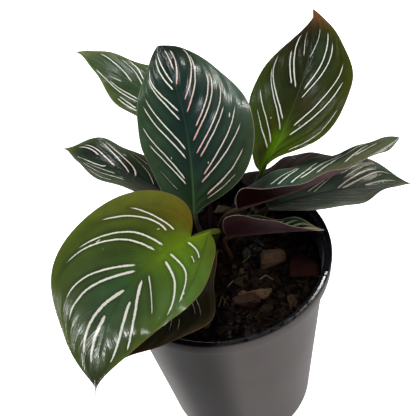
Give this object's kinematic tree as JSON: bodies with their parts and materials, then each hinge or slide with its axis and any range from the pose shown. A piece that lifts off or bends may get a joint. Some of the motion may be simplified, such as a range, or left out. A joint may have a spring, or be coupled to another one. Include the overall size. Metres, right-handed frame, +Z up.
{
  "type": "pinstripe calathea in a nursery pot",
  "caption": "Young pinstripe calathea: dark oval leaves with thin pale paired stripes on slim leafstalks, growing in bark mix in a plain round nursery pot.",
  "frame": {"origin": "centre of the underside of the pot", "axes": "+Z up the pot's axis; the plant is seen best from -Y, with +X to the right"},
  "size_m": [0.2255, 0.2252, 0.2477],
  "materials": {
    "pot_plastic": "satin moulded plastic",
    "potting_mix": "rough damp bark and peat",
    "leaf": "satin leaf"
  },
  "bodies": {
    "root": {"pot": "pot_plastic", "soil": "potting_mix", "leaf_centre": "leaf", "leaf_front_left": "leaf", "leaf_front_under": "leaf", "leaf_mid_left": "leaf", "leaf_right_back": "leaf", "leaf_right_lower": "leaf", "leaf_right_upper": "leaf", "leaf_small_rolled": "leaf", "leaf_upper_left": "leaf", "leaf_upper_right": "leaf"}
  },
  "joints": []
}
